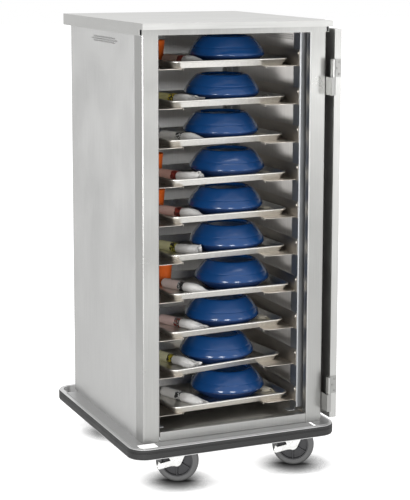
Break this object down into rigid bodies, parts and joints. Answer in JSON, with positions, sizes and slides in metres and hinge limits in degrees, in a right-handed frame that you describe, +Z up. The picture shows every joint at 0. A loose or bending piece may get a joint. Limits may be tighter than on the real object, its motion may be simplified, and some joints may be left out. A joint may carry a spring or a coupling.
{
  "type": "enclosed meal tray cart",
  "caption": "Tall enclosed cart with a full-height lift-off door folded back, tray ledges, laid trays, a wrap-round bumper and swivel casters.",
  "frame": {"origin": "floor level, centre of the footprint", "axes": "+Z up, -Y the door side, +X the hinge side"},
  "size_m": [0.7867, 0.856, 1.5847],
  "materials": {
    "cabinet_sheet": "brushed stainless sheet, satin",
    "jamb_steel": "brushed stainless sheet, satin",
    "cap_steel": "brushed stainless sheet, satin",
    "rack_steel": "stainless sheet, mill finish",
    "deck_steel": "galvanised plate, dull",
    "bumper_channel": "extruded, satin",
    "bumper_rubber": "moulded strip, matte",
    "hinge_steel": "satin stainless",
    "zinc": "bright zinc plate",
    "gasket": "extruded, matte",
    "magnet": "bonded magnet strip, matte",
    "pull_plastic": "moulded, matte",
    "wheel_centre": "moulded, matte",
    "tyre": "grey non-marking tread, matte",
    "tray": "pressed sheet pan with a rolled rim, satin",
    "meal_cover": "insulated moulding, satin"
  },
  "bodies": {
    "cabinet": {"top_cap": "cap_steel", "header": "jamb_steel", "side_panel_left": "cabinet_sheet", "side_panel_right": "cabinet_sheet", "corner_post_left": "jamb_steel", "corner_post_right": "jamb_steel", "back_panel": "cabinet_sheet", "floor_pan": "rack_steel", "sill": "jamb_steel", "base_frame": "rack_steel", "deck_plates": "deck_steel", "bumper_channel": "bumper_channel", "bumper_strip": "bumper_rubber", "uprights": "rack_steel", "ledges_left": "rack_steel", "ledges_right": "rack_steel", "ledge_buttons": "rack_steel", "hinge_frame_leaves": "hinge_steel", "caster_plates": "zinc"},
    "door": {"door_outer": "cabinet_sheet", "door_inner": "cabinet_sheet", "door_gasket": "gasket", "door_pull": "pull_plastic", "door_magnets": "magnet", "hinge_door_leaves": "hinge_steel", "hinge_screws": "hinge_steel"},
    "caster_front_left": {"fork_front_left": "zinc"},
    "wheel_front_left": {"wheel_front_left": "wheel_centre", "tyre_front_left": "tyre"},
    "brake_pedal_left": {"brake_pedal_left": "zinc"},
    "caster_front_right": {"fork_front_right": "zinc"},
    "wheel_front_right": {"wheel_front_right": "wheel_centre", "tyre_front_right": "tyre"},
    "brake_pedal_right": {"brake_pedal_right": "zinc"},
    "caster_rear_left": {"fork_rear_left": "zinc"},
    "wheel_rear_left": {"wheel_rear_left": "wheel_centre", "tyre_rear_left": "tyre"},
    "caster_rear_right": {"fork_rear_right": "zinc"},
    "wheel_rear_right": {"wheel_rear_right": "wheel_centre", "tyre_rear_right": "tyre"},
    "tray_set_1": {"tray_1": "tray", "meal_1": "meal_cover"},
    "tray_set_2": {"tray_2": "tray", "meal_2": "meal_cover"},
    "tray_set_3": {"tray_3": "tray", "meal_3": "meal_cover"},
    "tray_set_4": {"tray_4": "tray", "meal_4": "meal_cover"},
    "tray_set_5": {"tray_5": "tray", "meal_5": "meal_cover"},
    "tray_set_6": {"tray_6": "tray", "meal_6": "meal_cover"},
    "tray_set_7": {"tray_7": "tray", "meal_7": "meal_cover"},
    "tray_set_8": {"tray_8": "tray", "meal_8": "meal_cover"},
    "tray_set_9": {"tray_9": "tray", "meal_9": "meal_cover"},
    "tray_set_10": {"tray_10": "tray", "meal_10": "meal_cover"}
  },
  "joints": [
    {"name": "door_swing", "type": "hinge", "parent": "cabinet", "child": "door", "pos_m": [0.351, -0.399, 0.76], "axis": [0, 0, -1], "range_deg": [0, 270]},
    {"name": "swivel_front_left", "type": "hinge", "parent": "cabinet", "child": "caster_front_left", "pos_m": [-0.224, -0.309, 0.155], "axis": [0, 0, 1], "continuous": true},
    {"name": "roll_front_left", "type": "hinge", "parent": "caster_front_left", "child": "wheel_front_left", "pos_m": [-0.19975, -0.323, 0.075], "axis": [0.5, 0.866, 0], "continuous": true},
    {"name": "brake_front_left", "type": "hinge", "parent": "caster_front_left", "child": "brake_pedal_left", "pos_m": [-0.19975, -0.323, 0.075], "axis": [-0.5, -0.866, 0], "range_deg": [0, 15]},
    {"name": "swivel_front_right", "type": "hinge", "parent": "cabinet", "child": "caster_front_right", "pos_m": [0.224, -0.309, 0.155], "axis": [0, 0, 1], "continuous": true},
    {"name": "roll_front_right", "type": "hinge", "parent": "caster_front_right", "child": "wheel_front_right", "pos_m": [0.24825, -0.323, 0.075], "axis": [0.5, 0.866, 0], "continuous": true},
    {"name": "brake_front_right", "type": "hinge", "parent": "caster_front_right", "child": "brake_pedal_right", "pos_m": [0.24825, -0.323, 0.075], "axis": [-0.5, -0.866, 0], "range_deg": [0, 15]},
    {"name": "swivel_rear_left", "type": "hinge", "parent": "cabinet", "child": "caster_rear_left", "pos_m": [-0.224, 0.309, 0.155], "axis": [0, 0, 1], "continuous": true},
    {"name": "roll_rear_left", "type": "hinge", "parent": "caster_rear_left", "child": "wheel_rear_left", "pos_m": [-0.21675, 0.28195, 0.075], "axis": [0.9659, 0.2588, 0], "continuous": true},
    {"name": "swivel_rear_right", "type": "hinge", "parent": "cabinet", "child": "caster_rear_right", "pos_m": [0.224, 0.309, 0.155], "axis": [0, 0, 1], "continuous": true},
    {"name": "roll_rear_right", "type": "hinge", "parent": "caster_rear_right", "child": "wheel_rear_right", "pos_m": [0.23125, 0.28195, 0.075], "axis": [0.9659, 0.2588, 0], "continuous": true},
    {"name": "tray_slide_1", "type": "slide", "parent": "cabinet", "child": "tray_set_1", "axis": [0, 1, 0], "range_m": [-0.25, 0]},
    {"name": "tray_slide_2", "type": "slide", "parent": "cabinet", "child": "tray_set_2", "axis": [0, 1, 0], "range_m": [-0.25, 0]},
    {"name": "tray_slide_3", "type": "slide", "parent": "cabinet", "child": "tray_set_3", "axis": [0, 1, 0], "range_m": [-0.25, 0]},
    {"name": "tray_slide_4", "type": "slide", "parent": "cabinet", "child": "tray_set_4", "axis": [0, 1, 0], "range_m": [-0.25, 0]},
    {"name": "tray_slide_5", "type": "slide", "parent": "cabinet", "child": "tray_set_5", "axis": [0, 1, 0], "range_m": [-0.25, 0]},
    {"name": "tray_slide_6", "type": "slide", "parent": "cabinet", "child": "tray_set_6", "axis": [0, 1, 0], "range_m": [-0.25, 0]},
    {"name": "tray_slide_7", "type": "slide", "parent": "cabinet", "child": "tray_set_7", "axis": [0, 1, 0], "range_m": [-0.25, 0]},
    {"name": "tray_slide_8", "type": "slide", "parent": "cabinet", "child": "tray_set_8", "axis": [0, 1, 0], "range_m": [-0.25, 0]},
    {"name": "tray_slide_9", "type": "slide", "parent": "cabinet", "child": "tray_set_9", "axis": [0, 1, 0], "range_m": [-0.25, 0]},
    {"name": "tray_slide_10", "type": "slide", "parent": "cabinet", "child": "tray_set_10", "axis": [0, 1, 0], "range_m": [-0.25, 0]}
  ]
}
